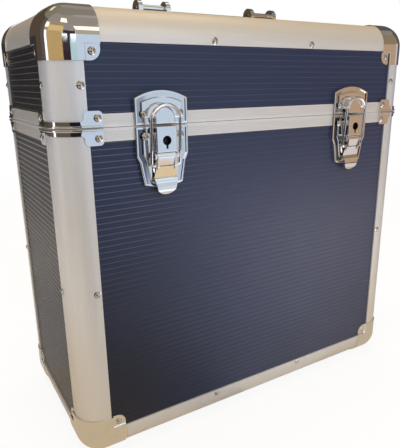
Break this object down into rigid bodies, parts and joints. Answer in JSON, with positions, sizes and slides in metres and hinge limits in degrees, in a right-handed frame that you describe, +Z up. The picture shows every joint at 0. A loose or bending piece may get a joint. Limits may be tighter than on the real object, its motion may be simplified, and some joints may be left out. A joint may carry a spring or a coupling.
{
  "type": "record carrying case",
  "caption": "Upright box case for long-playing records: ribbed panels in rounded aluminium edges, chrome corners, hinged lid with draw latches and a folding handle.",
  "frame": {"origin": "centre of the footprint, on the plane that the bottom corner caps stand on", "axes": "+Z up, the latches face -Y, +X to the right seen from the front"},
  "size_m": [0.3548, 0.1835, 0.368],
  "materials": {
    "ribbed_board": "dark navy ribbed laminate on board",
    "edge_aluminium": "satin anodised extrusion",
    "chrome": "polished chrome plate",
    "pin_steel": "bright steel",
    "padding": "dark foam padding with a napped face",
    "grip_plastic": "moulded black plastic"
  },
  "bodies": {
    "base": {"base_panel_front": "ribbed_board", "base_panel_back": "ribbed_board", "base_panel_left": "ribbed_board", "base_panel_right": "ribbed_board", "base_panel_bottom": "ribbed_board", "base_post_front_left": "edge_aluminium", "base_post_front_right": "edge_aluminium", "base_post_back_left": "edge_aluminium", "base_post_back_right": "edge_aluminium", "base_bottom_edge_front": "edge_aluminium", "base_bottom_edge_back": "edge_aluminium", "base_bottom_edge_left": "edge_aluminium", "base_bottom_edge_right": "edge_aluminium", "base_rim_front": "edge_aluminium", "base_rim_back": "edge_aluminium", "base_rim_left": "edge_aluminium", "base_rim_right": "edge_aluminium", "base_corner_caps": "chrome", "base_corner_braces": "chrome", "base_rivets": "chrome", "base_lining": "padding", "latch_plate_left": "chrome", "latch_plate_right": "chrome", "lock_housing_left": "chrome", "lock_housing_right": "chrome", "latch_pivot_pins": "pin_steel", "hinge_leaves_base": "chrome", "hinge_pins": "pin_steel"},
    "lid": {"lid_panel_front": "ribbed_board", "lid_panel_back": "ribbed_board", "lid_panel_left": "ribbed_board", "lid_panel_right": "ribbed_board", "lid_panel_top": "ribbed_board", "lid_posts": "edge_aluminium", "lid_top_edge_front": "edge_aluminium", "lid_top_edge_back": "edge_aluminium", "lid_top_edge_left": "edge_aluminium", "lid_top_edge_right": "edge_aluminium", "lid_rim_front": "edge_aluminium", "lid_rim_back": "edge_aluminium", "lid_rim_left": "edge_aluminium", "lid_rim_right": "edge_aluminium", "lid_corner_caps": "chrome", "lid_corner_braces": "chrome", "lid_rivets": "chrome", "lid_lining": "padding", "latch_keeper_left": "chrome", "latch_keeper_right": "chrome", "hinge_leaves_lid": "chrome", "handle_brackets": "chrome", "handle_pins": "pin_steel"},
    "handle": {"handle_frame": "chrome", "handle_grip": "grip_plastic"},
    "lever_left": {"latch_lever_left": "chrome"},
    "bail_left": {"latch_bail_left": "chrome"},
    "lever_right": {"latch_lever_right": "chrome"},
    "bail_right": {"latch_bail_right": "chrome"}
  },
  "joints": [
    {"name": "lid_hinge", "type": "hinge", "parent": "base", "child": "lid", "pos_m": [0, 0.087, 0.2705], "axis": [-1, 0, 0], "range_deg": [0, 100]},
    {"name": "handle_swing", "type": "hinge", "parent": "lid", "child": "handle", "pos_m": [-0.0028, 0, 0.3615], "axis": [1, 0, 0], "range_deg": [0, 201]},
    {"name": "latch_lever_left", "type": "hinge", "parent": "base", "child": "lever_left", "pos_m": [-0.0962, -0.089, 0.2482], "axis": [-1, 0, 0], "range_deg": [0, 95]},
    {"name": "latch_bail_left", "type": "hinge", "parent": "lever_left", "child": "bail_left", "pos_m": [-0.0962, -0.0887, 0.2412], "axis": [1, 0, 0], "range_deg": [0, 171]},
    {"name": "latch_lever_right", "type": "hinge", "parent": "base", "child": "lever_right", "pos_m": [0.0998, -0.089, 0.2482], "axis": [-1, 0, 0], "range_deg": [0, 95]},
    {"name": "latch_bail_right", "type": "hinge", "parent": "lever_right", "child": "bail_right", "pos_m": [0.0998, -0.0887, 0.2412], "axis": [1, 0, 0], "range_deg": [0, 171]}
  ],
  "couplings": [
    {"joint": "latch_bail_left", "follows": "latch_lever_left", "ratio": 1.8},
    {"joint": "latch_bail_right", "follows": "latch_lever_right", "ratio": 1.8}
  ]
}
